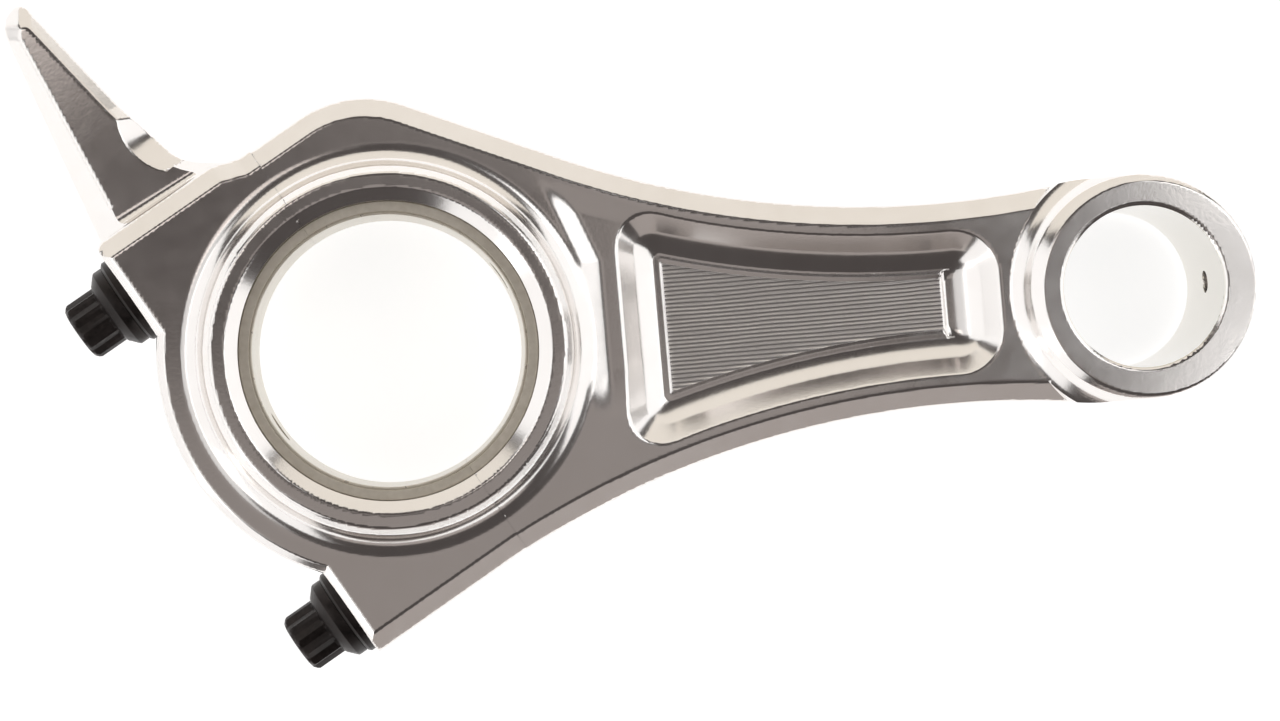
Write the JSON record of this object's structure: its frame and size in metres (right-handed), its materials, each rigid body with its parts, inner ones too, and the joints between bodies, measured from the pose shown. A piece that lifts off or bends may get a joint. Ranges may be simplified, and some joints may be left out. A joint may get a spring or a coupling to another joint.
{
  "type": "connecting rod",
  "caption": "Split I-beam connecting rod with an angled bearing cap, oil dipper, plain shell bearings and flanged cap screws.",
  "frame": {"origin": "middle of the crankpin bore, at half the rod's thickness", "axes": "+X along the rod to the wrist-pin bore, +Z along both bores' axes, +Y towards the side the oil dipper stands on; the rod lies flat"},
  "size_m": [0.1363, 0.0765, 0.022],
  "materials": {
    "machined_aluminium": "machined and tumbled to a bright polish",
    "shell_steel": "satin steel",
    "bearing_lining": "fine-bored bearing metal",
    "dowel_steel": "ground steel",
    "black_oxide_steel": "black oxide with an oily sheen"
  },
  "bodies": {
    "rod": {"rod_body": "machined_aluminium", "upper_shell_back": "shell_steel", "upper_shell_lining": "bearing_lining", "upper_dowel": "dowel_steel", "lower_dowel": "dowel_steel"},
    "cap": {"bearing_cap": "machined_aluminium", "lower_shell_back": "shell_steel", "lower_shell_lining": "bearing_lining"},
    "upper_washer": {"upper_washer": "black_oxide_steel"},
    "lower_washer": {"lower_washer": "black_oxide_steel"},
    "upper_screw": {"upper_cap_screw": "black_oxide_steel"},
    "lower_screw": {"lower_cap_screw": "black_oxide_steel"}
  },
  "joints": [
    {"name": "cap_pull", "type": "slide", "parent": "rod", "child": "cap", "axis": [-0.866, -0.5, 0], "range_m": [0, 0.025]},
    {"name": "upper_screw_out", "type": "slide", "parent": "cap", "child": "upper_washer", "axis": [-0.866, -0.5, 0], "range_m": [0, 0.01088]},
    {"name": "upper_screw_turn", "type": "hinge", "parent": "upper_washer", "child": "upper_screw", "pos_m": [-0.02797, 0.00845, 0], "axis": [-0.866, -0.5, 0], "range_deg": [0, 4340]},
    {"name": "lower_screw_out", "type": "slide", "parent": "cap", "child": "lower_washer", "axis": [-0.866, -0.5, 0], "range_m": [0, 0.01088]},
    {"name": "lower_screw_turn", "type": "hinge", "parent": "lower_washer", "child": "lower_screw", "pos_m": [-0.00667, -0.02845, 0], "axis": [-0.866, -0.5, 0], "range_deg": [0, 4340]}
  ],
  "couplings": [
    {"joint": "upper_screw_turn", "follows": "upper_screw_out", "rad_per_m": 6927.4},
    {"joint": "lower_screw_turn", "follows": "lower_screw_out", "rad_per_m": 6927.4}
  ]
}
